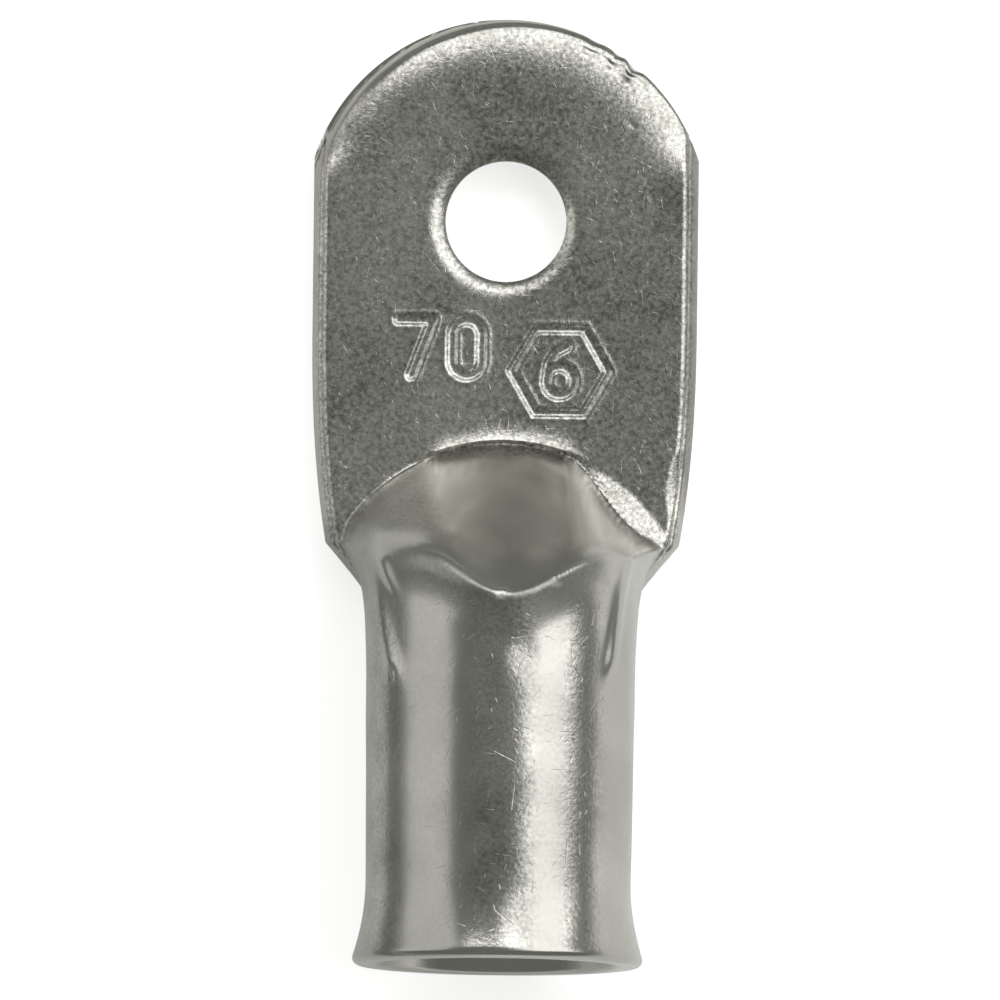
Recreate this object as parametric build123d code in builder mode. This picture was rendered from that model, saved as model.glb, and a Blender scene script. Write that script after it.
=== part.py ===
from build123d import *
from math import acos, atan2, cos, degrees, pi, radians, sin, sqrt, tan
import os

os.makedirs("parts", exist_ok=True)

# The lug lies on its back, in millimetres. The stud hole's axis is +Z, the tongue's
# contact face is z = 0, +Y runs to the round end and the cable enters towards +Y.

# Tube that the lug is pressed from
barrel_diameter = 15.3
barrel_length = 12.5  # of the round stretch between the neck and the bell
wall = 1.6
shoulder_swell = 0.12  # growth of the barrel's radius towards the press

# Bell at the cable end
bell_flare = 0.9  # growth of the barrel's radius towards the mouth
bell_length = 4.9
mouth_tilt = 4.8  # degrees by which pressing drew the front of the mouth back
rim_chamfer = 0.4

# Tongue, two walls pressed flat
press_squeeze = 0.1  # thickness lost under the press
press_spread = 0.78  # width gained over half the tube's girth
fold_bulge = 0.85  # how far each folded side stands out past the flat faces
end_bluntness = 0.55  # how far the end's radius exceeds half the tongue's width
end_roll_width = 2.0
end_roll_depth = 1.1
roll_shoulder = 0.6  # share of a roll's width where its curve would turn down as a corner

# Sides of the tongue, which draw in between the taper's start and the ears
taper_start = 6.0  # distance back from the stud hole
ear_draw = 0.9
draw_power = 2.4  # of the curve by which they draw in
taper_steps = 6

# Stud hole, punched from the front
hole_diameter = 7.0
hole_roll_width = 0.9
hole_roll_depth = 0.4

# Neck, whose ramp rises from the crease in front of the ears
crease_distance = 13.1  # from the stud hole to the foot of the ramp
neck_length = 12.5
arch_margin = 1.3  # how far the arch of the crease reaches past the flat of the ears
ramp_angle = 55.0
ridge_round = 1.0
slit_gap = 0.2  # what stays open between the walls where they close

# Flattening of the neck: shares of its way to the ears, with the share of the form
neck_steps = [(0, 0), (0.33, 0.25), (0.67, 0.63), (1, 1)]

# Where the folded sides start on the round tube, in degrees up from its side
fold_back_angle = -55
fold_front_angle = -39

# Sizes that follow
barrel_radius = barrel_diameter / 2
bore_radius = barrel_radius - wall
shoulder_radius = barrel_radius + shoulder_swell
tongue_thickness = 2 * wall - press_squeeze
tongue_width = pi * (barrel_diameter - wall) / 2 + press_spread
ear_width = tongue_width - 2 * ear_draw
end_radius = tongue_width / 2 + end_bluntness
hole_radius = hole_diameter / 2
ramp_run = 1 / tan(radians(ramp_angle))
ear_flat = ear_width / 2 - fold_bulge
arch_radius = ear_flat + arch_margin
corner_y = sqrt(end_radius**2 - (tongue_width / 2) ** 2)
fold_radius = ((tongue_thickness / 2) ** 2 + fold_bulge**2) / (2 * fold_bulge)
fold_margin = (fold_radius - tongue_thickness / 2) / 2
ear_distance = crease_distance + arch_radius - sqrt(arch_radius**2 - ear_flat**2)
barrel_start = crease_distance + neck_length
bell_start = barrel_start + barrel_length
mouth_distance = bell_start + bell_length
bell_curve = (bell_length**2 + bell_flare**2) / (2 * bell_flare)
bell_reach = bell_length + 2 * (barrel_radius + bell_flare) * tan(radians(mouth_tilt))
bell_growth = bell_curve - sqrt(bell_curve**2 - bell_reach**2)
through = 2 * barrel_diameter  # length of a cut that passes right through

barrel_axis = Axis((0, 0, barrel_radius), (0, 1, 0))
mouth_normal = (0, -cos(radians(mouth_tilt)), sin(radians(mouth_tilt)))
mouth_plane = Plane((0, -mouth_distance, barrel_radius), x_dir=(1, 0, 0), z_dir=mouth_normal)


def cross_plane(distance):
    """Plane across the lug at a distance back from the stud hole, seen from the mouth."""
    return Plane.XZ.offset(distance)


def plate_section(distance, width):
    """Flattened tube with an arc over each folded side. It is a margin too thick on the front
    and on the back, which the tongue's flat faces then cut off."""
    low = -fold_margin
    high = tongue_thickness + fold_margin
    drop = tongue_thickness / 2 + fold_margin
    flat = width / 2 - fold_radius + sqrt(fold_radius**2 - drop**2)
    with BuildLine(cross_plane(distance)) as outline:
        Line((-flat, low), (flat, low))
        ThreePointArc((flat, low), (width / 2, tongue_thickness / 2), (flat, high))
        Line((flat, high), (-flat, high))
        ThreePointArc((-flat, high), (-width / 2, tongue_thickness / 2), (-flat, low))
    return Face(outline.wire())


def rim_point(radius, angle):
    """Point of a circle round the barrel's axis, by its angle up from the side."""
    return (radius * cos(radians(angle)), barrel_radius + radius * sin(radians(angle)))


def mix(near, far, share):
    """Point that lies a share of the way from one point to another."""
    return tuple(a + (b - a) * share for a, b in zip(near, far))


def neck_section(distance, share, radius, foot, bulge, low, high):
    """Section of the neck, from a circle at share 0 to its hull with the flattened foot at
    share 1. The foot lies between the levels low and high and reaches foot to each side."""
    reach = sqrt(foot**2 + (barrel_radius - high) ** 2)
    crown_angle = atan2(high - barrel_radius, foot) + acos(radius / reach)
    crown = rim_point(radius, degrees(crown_angle))
    middle_angle = (fold_back_angle + fold_front_angle) / 2
    base = mix(rim_point(radius, fold_back_angle), (foot, low), share)
    side = mix(rim_point(radius, middle_angle), (foot + bulge, (low + high) / 2), share)
    shelf = mix(rim_point(radius, fold_front_angle), (foot, high), share)
    keel = mix((0, barrel_radius - radius), (0, low), share)

    def across(point):
        return (-point[0], point[1])

    def flank(top, bottom, side_sign):
        """From the crown down to the foot, leaving the crown's arc without a corner."""
        if share == 1:
            return Line(top, bottom)
        downwards = Vector(side_sign * sin(crown_angle), 0, -cos(crown_angle))
        return TangentArc(top, bottom, tangent=downwards)

    with BuildLine(cross_plane(distance)):
        sides = [
            Line(across(base), base) if share == 1 else ThreePointArc(across(base), keel, base),
            ThreePointArc(base, side, shelf),
            flank(crown, shelf, 1),
            ThreePointArc(crown, (0, barrel_radius + radius), across(crown)),
            flank(across(crown), across(shelf), -1),
            ThreePointArc(across(shelf), across(side), across(base)),
        ]
    return Face(Wire(sides))


def neck(inset, radius, bulge, low, high):
    """Outside of the neck at inset 0, and its hollow at inset wall. The section runs from the
    barrel's circle to the ears, and the slanted arch of the ramp cuts it off."""
    foot = ear_flat - inset
    arch = arch_radius - inset
    drop = tongue_thickness + shoulder_swell
    apex = drop * ramp_run - crease_distance - inset / sin(radians(ramp_angle))
    with BuildPart() as allowed:
        with BuildSketch(Plane.XY.offset(-shoulder_swell)):
            with BuildLine():
                ThreePointArc((-arch, apex - arch), (0, apex), (arch, apex - arch))
                Polyline(
                    (arch, apex - arch),
                    (arch, -mouth_distance),
                    (-arch, -mouth_distance),
                    (-arch, apex - arch),
                )
            make_face()
        extrude(amount=through, dir=(0, -ramp_run, 1))
        with BuildSketch(Plane.XY.offset(high)):
            with Locations((0, -mouth_distance / 2)):
                Rectangle(2 * tongue_width, mouth_distance)
        extrude(amount=-high - shoulder_swell)
    with BuildPart() as shape:
        for reach, share in neck_steps:
            distance = barrel_start + (ear_distance - barrel_start) * reach
            add(neck_section(distance, share, radius, foot, bulge, low, high))
        loft()
        add(neck_section(ear_distance, 1, radius, foot, bulge, low, high))
        extrude(amount=arch_radius, dir=(0, 1, 0))
        add(allowed.part, mode=Mode.INTERSECT)
    return shape.part


def roll_cut(flat_radius, edge_radius, depth, start_angle, sweep):
    """Ring of metal that a rolled edge lacks: its curve leaves the tongue's front level at
    flat_radius and has dropped by depth at edge_radius."""
    across = (cos(radians(start_angle)), sin(radians(start_angle)), 0)
    profile_plane = Plane((0, 0, tongue_thickness), x_dir=across, z_dir=(across[1], -across[0], 0))
    with BuildPart() as ring:
        with BuildSketch(profile_plane):
            with BuildLine():
                shoulder = flat_radius + (edge_radius - flat_radius) * roll_shoulder
                Bezier((flat_radius, 0), (shoulder, 0), (edge_radius, -depth))
                Polyline(
                    (edge_radius, -depth),
                    (edge_radius, depth),
                    (flat_radius, depth),
                    (flat_radius, 0),
                )
            make_face()
        revolve(axis=Axis.Z, revolution_arc=sweep)
    return ring.part


middle = tongue_thickness / 2
neck_outside = neck(0, shoulder_radius, fold_bulge, 0, tongue_thickness)
neck_hollow = neck(wall, bore_radius, slit_gap / 2, middle - slit_gap / 2, middle + slit_gap / 2)
corner_angle = degrees(atan2(corner_y, tongue_width / 2))
end_roll = roll_cut(
    end_radius - end_roll_width, end_radius, end_roll_depth, corner_angle, 180 - 2 * corner_angle
)
hole_roll = roll_cut(hole_radius + hole_roll_width, hole_radius, hole_roll_depth, 0, 360)

with BuildPart() as lug_body:
    # Tongue, whose sides draw in towards the ears
    add(plate_section(-end_radius, tongue_width))
    for step in range(taper_steps + 1):
        reach = step / taper_steps
        distance = taper_start + (ear_distance - taper_start) * reach
        add(plate_section(distance, tongue_width - 2 * ear_draw * reach**draw_power))
    loft(ruled=True)
    with BuildSketch():
        Circle(end_radius)
        with Locations((0, -mouth_distance / 2)):
            Rectangle(2 * tongue_width, mouth_distance)
    extrude(amount=tongue_thickness, mode=Mode.INTERSECT)

    # Neck and ramp
    add(neck_outside)

    # Barrel and bell
    with BuildSketch(Plane.YZ):
        with BuildLine():
            shoulder_out = (-barrel_start, barrel_radius + shoulder_radius)
            bell_out = (-bell_start, 2 * barrel_radius)
            end_out = (-bell_start - bell_reach, 2 * barrel_radius + bell_growth)
            end_in = (end_out[0], end_out[1] - wall)
            bell_in = (bell_out[0], bell_out[1] - wall)
            shoulder_in = (-barrel_start, barrel_radius + bore_radius)
            Line(shoulder_out, bell_out)
            TangentArc(bell_out, end_out, tangent=(-1, 0))
            Line(end_out, end_in)
            TangentArc(end_in, bell_in, tangent=(-1, 0), tangent_from_first=False)
            Line(bell_in, shoulder_in)
            Line(shoulder_in, shoulder_out)
        make_face()
    revolve(axis=barrel_axis)
    split(bisect_by=mouth_plane, keep=Keep.BOTTOM)

    # Ridge between the ramp and the barrel, and down both flanks to the ears
    ramp = lug_body.faces().filter_by(GeomType.EXTRUSION).sort_by(SortBy.AREA)[-1]
    fillet(ramp.edges().sort_by(Axis.Z)[-3:], ridge_round)

    # Hollow behind the ramp, closing to a slit between the walls
    add(neck_hollow, mode=Mode.SUBTRACT)

    # Stud hole and the rolled edges of the tongue's front
    Hole(hole_radius)
    add(hole_roll, mode=Mode.SUBTRACT)
    add(end_roll, mode=Mode.SUBTRACT)

    mouth = lug_body.faces().sort_by(Axis.Y)[0]
    chamfer(mouth.edges(), rim_chamfer)

lug_body.part.label = "lug_body"
export_step(lug_body.part, "parts/lug_body.step")
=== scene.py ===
import math

import bpy
import numpy as np
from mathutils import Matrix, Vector


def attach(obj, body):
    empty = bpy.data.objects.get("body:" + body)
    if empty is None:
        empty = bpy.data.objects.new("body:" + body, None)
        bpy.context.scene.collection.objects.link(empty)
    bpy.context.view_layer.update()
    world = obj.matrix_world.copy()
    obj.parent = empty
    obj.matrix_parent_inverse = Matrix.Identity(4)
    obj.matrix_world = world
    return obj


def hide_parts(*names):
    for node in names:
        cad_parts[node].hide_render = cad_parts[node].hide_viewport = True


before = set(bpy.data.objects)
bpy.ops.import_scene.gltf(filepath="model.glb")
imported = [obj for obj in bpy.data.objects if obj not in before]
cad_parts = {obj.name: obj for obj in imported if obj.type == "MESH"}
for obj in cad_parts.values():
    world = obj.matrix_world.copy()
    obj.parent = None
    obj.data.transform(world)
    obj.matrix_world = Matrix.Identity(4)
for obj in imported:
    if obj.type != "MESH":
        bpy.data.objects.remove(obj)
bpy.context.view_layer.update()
print("frame loaded")

mm = 0.001

# The lug's form, in millimetres from the stud hole's centre. x is across, z is up, and y is negative
# towards the mouth. A pair named Fade or Rise says where something starts and where it is in full.
lug = {
    # The round tube, its belled and slanted mouth, and the neck that leads to the ears
    "barrelRadius": 7.65, "wall": 1.6, "shoulderSwell": 0.12,
    "bellFlare": 0.9, "bellStart": -38.1, "mouth": -43.0, "mouthTilt": 4.8, "rimRound": 0.42, "rimChamfer": 0.6,
    "neckStart": -25.6, "ears": -18.7, "neckPower": 1.25,
    # The flattened tongue, its folded sides, its round end and the stud hole
    "thickness": 3.1, "halfWidth": 11.15, "foldBulge": 0.85, "earDraw": 0.9,
    "taperStart": -6.0, "taperPower": 2.4, "foldBack": -55.0, "foldFront": -39.0,
    "foldCrease": 0.08, "foldCreaseStep": 0.77, "foldCreaseWidth": 0.05, "foldCreaseFade": (0.85, 1.0),
    "foldBead": 0.03, "foldBeadStep": 0.89, "foldBeadWidth": 0.06,
    "foldDraw": (0.75, 0.65), "foldLiftFade": (0.5, 1.0),
    "endRadius": 11.7, "endRollWidth": 4.4, "endRollDepth": 0.78, "endRollShift": 0.25, "endFade": (2.0, 5.0),
    "endRollEase": 0.22, "endRollEaseFade": (2.0, 9.0), "seamDepth": 0.06, "seamHalf": 0.012,
    "edgeRound": 0.45, "edgeRoundLeft": 0.7, "edgeRoundFade": (3.0, -6.0),
    "holeRadius": 3.5, "holeRollWidth": 1.15, "holeRollDepth": 0.42,
    # The ramp that rises from the arched crease to the V of the ridge
    "crease": -12.9, "archRadius": 11.0, "rampAngle": 55.0, "rampReach": 1.6, "rampLeast": 0.9,
    "creaseRound": 0.22, "creaseSoft": 0.3, "creaseSoftFade": (-3.0, -5.5),
    "ridge": -21.35, "ridgeDraw": 2.0, "ridgeReach": 5.4, "ridgeShift": 0.4,
    "ridgeRound": 0.25, "ridgeSoft": 0.75, "ridgeSoftFade": (-0.8, -3.4), "ridgeLeast": 0.6,
    "bevelAngle": 44.0, "bevelRun": 1.0, "bevelShare": 0.4, "bevelRound": 1.0, "bevelFade": (8.0, -2.0),
    "facetAngle": 25.0, "facetRun": 1.75, "facetShare": 0.55, "facetRound": 1.2, "facetFade": (3.6, 7.2),
    "streak": (-3.97, -16.3), "streakHeight": 0.05, "streakWidth": 0.28, "streakLength": 1.0, "streakLean": 0.1,
    # The hump behind the ridge and its knuckles, and the lip in front of the crease
    "knuckle": 7.4, "humpHeight": 0.5, "humpOnRidge": 0.7, "humpLength": 3.3, "humpEase": 0.3,
    "humpFade": (5.0, 9.5),
    "lipHeight": 0.22, "lipLength": 1.75, "lipCrest": 0.25, "lipPower": 2.5, "lipRise": (0.02, 0.28),
    "lipLeftFade": (-5.6, -3.0), "lipRightFade": (5.2, 2.6),
    # The patch pressed flat on the right fold: its inner edge is a parabola
    "patchEdge": 9.5, "patchBow": 0.1, "patchMiddle": -15.6, "patchSlope": 0.45, "patchRound": 0.15,
    "patchFade": (-11.0, -13.0),
    # The slit that is left where the pressed walls meet inside
    "slitGap": 0.2, "slitEnd": -13.6, "slitRound": 0.3,
}

# How finely the skin is divided: columns across the top and the bottom, steps down a fold from its
# top at 1 to its foot at -1, rows as (from, to, spacing), and the rings round the stud hole
grid = {
    "topColumns": 224, "bottomColumns": 36,
    "foldSteps": [0.93, 0.86, 0.815, 0.77, 0.725, 0.68, 0.6, 0.42, 0.15, -0.2, -0.6, -0.88],
    "rows": [(11.7, 10.9, 0.07), (10.9, 5.0, 0.24), (5.0, -5.0, 0.32), (-5.0, -11.2, 0.095),
             (-11.2, -14.4, 0.11), (-14.4, -23.0, 0.16), (-23.0, -29.0, 0.26), (-29.0, -38.1, 0.5),
             (-38.1, -43.0, 0.27)],
    "rimSteps": 7, "innerStart": 0.6, "innerRows": (9, 5, 20), "sectionSamples": 1200, "settleRounds": 4,
    "holeRings": 20, "holePatch": 4.9, "holeCrowding": 1.7, "holeLevels": (0.66, 0.33, 0.02),
    "endLevels": (0.8, 0.62, 0.54, 0.51, 0.5, 0.49, 0.46, 0.3, 0.12),
}


def smoothStep(start, end, value):  # 0 up to start, 1 from end on, 3t^2 - 2t^3 between; end may be the lower one
    t = np.clip((value - start) / (end - start), 0, 1)
    return t * t * (3 - 2 * t)


def window(value, rise, fall):  # 1 between a smooth rise and a smooth fall, 0 outside them
    return smoothStep(*rise, value) * smoothStep(*fall, value)


def mound(u, v=0):  # bell curve of one or two distances: exp(-u^2 - v^2)
    return np.exp(-u ** 2 - v ** 2)


def softMin(a, b, reach):  # smaller of two, with a parabola over the corner where they are within reach
    near = np.maximum(reach - np.abs(a - b), 0) / reach
    return np.minimum(a, b) - near * near * reach / 4


def softRise(value, reach):  # value where it is positive, else 0, with a parabola over the corner
    return -softMin(-value, np.zeros_like(value), reach)


def flattening(y):  # 0 on the round barrel, 1 from the ears on, by a power of the way between
    way = np.clip((y - lug["neckStart"]) / (lug["ears"] - lug["neckStart"]), 0, 1)
    return way ** lug["neckPower"]


def barrelRadiusAt(y):  # straight swell towards the neck, circular arc out to the mouth
    swell = lug["shoulderSwell"] * np.clip((y - lug["bellStart"]) / (lug["neckStart"] - lug["bellStart"]), 0, 1)
    length = lug["bellStart"] - lug["mouth"]
    curve = (length ** 2 + lug["bellFlare"] ** 2) / (2 * lug["bellFlare"])
    into = np.clip(lug["bellStart"] - y, 0, 0.9 * curve)
    return lug["barrelRadius"] + swell + curve - np.sqrt(curve ** 2 - into ** 2)


def bellAngle():  # slope of the bell's arc at the mouth: sine = length / radius of the arc
    length = lug["bellStart"] - lug["mouth"]
    return math.asin(length * 2 * lug["bellFlare"] / (length ** 2 + lug["bellFlare"] ** 2))


def halfWidthAt(y):  # constant at the end, drawing in by a power curve towards the ears
    way = np.clip((lug["taperStart"] - y) / (lug["taperStart"] - lug["ears"]), 0, 1)
    return lug["halfWidth"] - lug["earDraw"] * way ** lug["taperPower"]


def arcDrop(x, radius, most):  # how far a circular arch has fallen back at x, held level past most of its radius
    return radius - np.sqrt(radius ** 2 - np.clip(np.abs(x), 0, most * radius) ** 2)


def archAt(x):  # y of the crease: a circular arch across the tongue
    return lug["crease"] - arcDrop(x, lug["archRadius"], 0.96)


def rollDrop(into, width, depth):  # a rolled edge's drop, a quadratic Bezier curve: u = 1.2 s - 0.2 s^2, drop = s^2
    u = np.clip(into / width, 0, 1)
    s = (1.2 - np.sqrt(1.44 - 0.8 * u)) / 0.4
    return depth * s * s


def skinForm(inside):  # the values of the outer or the inner skin's flattened section
    inset = lug["wall"] if inside else 0.0
    foot = lug["halfWidth"] - lug["earDraw"] - lug["foldBulge"] - inset
    middle, gap = lug["thickness"] / 2, lug["slitGap"] / 2
    low, high = (middle - gap, middle + gap) if inside else (0.0, lug["thickness"])
    radius = lug["barrelRadius"] + lug["shoulderSwell"] - inset
    # The flank is straight from the fold's top, and touches the crown's arc at this angle
    crown = (math.atan2(high - lug["barrelRadius"], foot)
             + math.acos(radius / math.hypot(foot, lug["barrelRadius"] - high)))
    return {"inset": inset, "foot": foot, "low": low, "high": high, "radius": radius, "crown": crown,
            "crownX": radius * math.cos(crown), "bulge": gap if inside else lug["foldBulge"]}


topCount = grid["topColumns"] + 1
foldCount = len(grid["foldSteps"])
keelFirst = topCount + foldCount
keelCount = grid["bottomColumns"] + 1
ringCount = topCount + keelCount + 2 * foldCount
topSpan = slice(0, topCount)
leftFold, rightFold = slice(topCount, keelFirst), slice(keelFirst + keelCount, ringCount)
outer, inner = skinForm(False), skinForm(True)


def ringSection(y, form):
    # x and z of a closed section for each row's y. Every point goes by the row's flattening from
    # the barrel's circle to the pressed form: crown arc, straight flanks, folded sides, flat keel.
    s = flattening(y)
    radius = barrelRadiusAt(y) - form["inset"]
    foot, low, high, crown = form["foot"], form["low"], form["high"], form["crown"]
    front, back = math.radians(lug["foldFront"]), math.radians(lug["foldBack"])
    centre = lug["barrelRadius"]

    def circle(angle):
        return radius * np.cos(angle), centre + radius * np.sin(angle)

    # Top: the columns' angles slide from even steps to steps that stand evenly across the flat form
    tau = np.linspace(1, -1, topCount)[None, :]
    even = math.pi / 2 - tau * (math.pi / 2 - front)
    level = foot * np.abs(tau)
    onCrown = np.arccos(np.clip(level / form["radius"], 0, 1))
    onFlank = crown - (level - form["crownX"]) / (foot - form["crownX"]) * (crown - front)
    flat = np.where(level < form["crownX"], onCrown, onFlank)
    flat = np.where(tau > 0, flat, math.pi - flat)
    angle = even + (flat - even) * smoothStep(0, 1, s)
    side = np.where(angle < math.pi / 2, 1, -1)
    lifted = np.where(side > 0, angle, math.pi - angle)
    down = np.clip((crown - lifted) / (crown - front), 0, 1)
    roundX, roundZ = circle(angle)
    crownZ = centre + form["radius"] * math.sin(crown)
    flankX = side * (form["crownX"] + (foot - form["crownX"]) * down)
    flankZ = crownZ + (high - crownZ) * down
    topX = np.where(lifted >= crown, roundX, roundX + (flankX - roundX) * s)
    topZ = np.where(lifted >= crown, roundZ, roundZ + (flankZ - roundZ) * s)

    # Folded side: an arc of the bulge's radius between the two faces
    half, bulge = (high - low) / 2, form["bulge"]
    bend = (half ** 2 + bulge ** 2) / (2 * bulge)
    spread = math.asin(min(half / bend, 1))
    steps = np.array(grid["foldSteps"])[None, :]
    foldRoundX, foldRoundZ = circle(front + (back - front) * (1 - steps) / 2)
    foldX = foldRoundX + (foot + bulge - bend + bend * np.cos(spread * steps) - foldRoundX) * s
    foldZ = foldRoundZ + ((low + high) / 2 + bend * np.sin(spread * steps) - foldRoundZ) * s

    # Keel: the bottom arc that becomes the flat back
    across = np.linspace(-1, 1, keelCount)[None, :]
    keelX, keelZ = circle(-math.pi / 2 + across * (math.pi / 2 + back))
    keelX = keelX + (foot * across - keelX) * s
    keelZ = keelZ + (low - keelZ) * s

    x = np.concatenate([topX, -foldX, keelX, foldX[:, ::-1]], axis=1)
    z = np.concatenate([topZ, foldZ, keelZ, foldZ[:, ::-1]], axis=1)
    return x, z


def ringGrid(y, form):  # the section for a y of its own at every point, read between even samples of it
    rows = np.linspace(y.min(), y.max(), grid["sectionSamples"])[:, None]
    rowX, rowZ = ringSection(rows, form)
    place = (y - rows[0, 0]) / (rows[-1, 0] - rows[0, 0]) * (len(rows) - 1)
    low = np.clip(place.astype(int), 0, len(rows) - 2)
    part = place - low
    column = np.arange(y.shape[1])[None, :]
    x = rowX[low, column] * (1 - part) + rowX[low + 1, column] * part
    z = rowZ[low, column] * (1 - part) + rowZ[low + 1, column] * part
    return x, z


def widen(x, y):  # the tongue's section grows with its width, the folded sides keep their bulge
    grow = halfWidthAt(y) - (lug["halfWidth"] - lug["earDraw"])
    return x + np.where(y > lug["ears"], grow * np.clip(x / outer["foot"], -1, 1), 0)


def mouthAt(z, inside):  # y of the slanted mouth plane, moved inside by a distance
    return lug["mouth"] + math.tan(math.radians(lug["mouthTilt"])) * (z - lug["barrelRadius"]) + inside


def stretch(v, start, end, goal):  # carries v in proportion from start-to-end onto start-to-goal
    return start + (v - start) * (goal - start) / (end - start)


def outerRows():
    # y of each point: rows lie straight across the barrel, follow the arch at the crease, and swell
    # into the round end and onto the slanted mouth. x and y settle together in a few rounds.
    v = np.concatenate([np.linspace(a, b, max(2, round((a - b) / spacing) + 1))[:-1]
                        for a, b, spacing in grid["rows"]] + [[lug["mouth"]]])[:, None]
    y = np.repeat(v, ringCount, axis=1)
    taper, crease, neck, bell = lug["taperStart"], lug["crease"], lug["neckStart"], lug["bellStart"]
    inside = lug["rimRound"] * (1 + math.sin(bellAngle()))
    for _ in range(grid["settleRounds"]):
        x, z = ringGrid(y, outer)
        x = widen(x, y)
        end = np.sqrt(np.maximum(lug["endRadius"] ** 2 - x ** 2, 0))
        arch = archAt(np.clip(x, -outer["foot"], outer["foot"]))
        y = np.repeat(v, ringCount, axis=1)
        y = np.where(v > taper, stretch(v, taper, lug["endRadius"], end), y)
        y = np.where((v <= taper) & (v > crease), stretch(v, taper, crease, arch), y)
        y = np.where((v <= crease) & (v > neck), stretch(v, neck, crease, arch), y)
        y = np.where(v < bell, stretch(v, bell, lug["mouth"], mouthAt(z, inside)), y)
    return y


def innerRamp(x, y):  # z of the ramp's inside: up at the ramp's angle from an arch a wall further back
    slope, lean = math.tan(math.radians(lug["rampAngle"])), math.sin(math.radians(lug["rampAngle"]))
    arch = lug["crease"] - lug["wall"] / lean - arcDrop(x, lug["archRadius"] - lug["wall"], 0.97)
    rise = (arch - y) * slope + lug["thickness"] - inner["high"]
    return inner["high"] + softRise(rise, lug["creaseRound"])


def ridgeAt(x):  # y of the ridge: a V with a round foot and shoulders, level towards the knuckles
    way = np.clip(np.abs(x - lug["ridgeShift"]) / lug["ridgeReach"], 0, 1)
    return lug["ridge"] + lug["ridgeDraw"] * (1 - np.cos(math.pi * way)) / 2


def crownAt(x):  # z of the flattened section's top: its crown arc, then the straight flank
    side = np.abs(x)
    crownZ = lug["barrelRadius"] + outer["radius"] * math.sin(outer["crown"])
    arc = lug["barrelRadius"] + np.sqrt(outer["radius"] ** 2 - np.clip(side, 0, outer["crownX"]) ** 2)
    steep = (crownZ - lug["thickness"]) / (outer["foot"] - outer["crownX"])
    flank = np.maximum(crownZ - (side - outer["crownX"]) * steep, lug["thickness"])
    return np.where(side < outer["crownX"], arc, flank)


def beyondArch(x, y):  # distance behind the crease, square to the arch and negative in front of it
    centreY = lug["crease"] - lug["archRadius"]
    ahead = lug["archRadius"] - np.hypot(x, y - centreY)
    return np.where(y > centreY, ahead, lug["archRadius"] - np.abs(x))


def rampLevel(x, y):
    # z of the ramp. Towards the right ear it starts with a gentle facet, and then climbs so that it
    # meets the crown on the ridge. It soon turns into a plane across the lug: with u the distance
    # behind the facet and d how far the arch lies back, rise = slope * (u + d * (1 - exp(-u / reach))).
    # Facet and bevel take no more than their shares of a short ramp.
    run = np.maximum(archAt(x) - ridgeAt(x), lug["rampLeast"])
    aside = smoothStep(*lug["facetFade"], x)
    start = np.minimum(lug["facetRun"] * aside, lug["facetShare"] * run)
    bevelRun = np.minimum(lug["bevelRun"] * smoothStep(*lug["bevelFade"], x), lug["bevelShare"] * (run - start))
    bevelSlope = math.tan(math.radians(lug["bevelAngle"]))
    summit = np.maximum(crownAt(x) + lug["humpHeight"] * lug["humpOnRidge"] - lug["thickness"], lug["ridgeLeast"])
    back = lug["crease"] - archAt(x)

    def climb(u):
        return u + back * (1 - np.exp(-np.clip(u, -0.5, 40) / lug["rampReach"]))

    steep = climb(archAt(x) - y - start) * (summit - bevelRun * bevelSlope) / climb(run - start - bevelRun)
    bevel = summit + bevelSlope * (ridgeAt(x) - y)
    soft = lug["creaseRound"] + lug["creaseSoft"] * smoothStep(*lug["creaseSoftFade"], x)
    steep = softRise(softMin(steep, bevel, lug["bevelRound"]), soft)
    facet = math.tan(math.radians(lug["facetAngle"])) * aside * softRise(beyondArch(x, y), lug["creaseRound"])
    reach = np.clip(lug["facetRound"] * np.minimum(steep, facet), 0.001, lug["facetRound"])
    awayX, awayY = x - lug["streak"][0], y - lug["streak"][1]
    streak = mound((awayX + lug["streakLean"] * awayY) / lug["streakWidth"], awayY / lug["streakLength"])
    return lug["thickness"] - softMin(-steep, -facet, reach) + lug["streakHeight"] * streak * np.clip(steep, 0, 1)


def humpLift(x, y):  # height of the hump behind the ridge, lower and shorter towards the knuckles
    ease = 1 - lug["humpEase"] * np.clip(np.abs(x) / lug["knuckle"], 0, 1) ** 2
    back = np.clip((ridgeAt(x) - y) / (lug["humpLength"] * ease), 0, 1)
    return lug["humpHeight"] * ease * (1 - back) ** 2 * (1 + 0.5 * back)


# Numerals stamped into the tongue, in millimetres: their lines as (x, y, x, y), their rings as a line
# and a radius round it, and a plain hexagon as (x, y, apothem)
stamps = {
    "lines": [(-6.15, -5.75, -4.2, -5.75), (-4.2, -5.75, -5.4, -8.95),
              (2.42, -9.1, 2.55, -8.2), (2.55, -8.2, 2.95, -7.55), (2.95, -7.55, 3.6, -7.2)],
    "rings": [(-2.2, -6.6, -2.2, -8.1, 0.85), (3.2, -9.25, 3.2, -9.15, 0.78)],
    "hexagon": (3.19, -8.64, 2.42), "hexagonThinner": 0.06,
    "stroke": 0.24, "wall": 0.22, "depth": 0.13, "lip": 0.035, "lipAway": 0.2, "lipHalf": 0.13,
}

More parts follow.
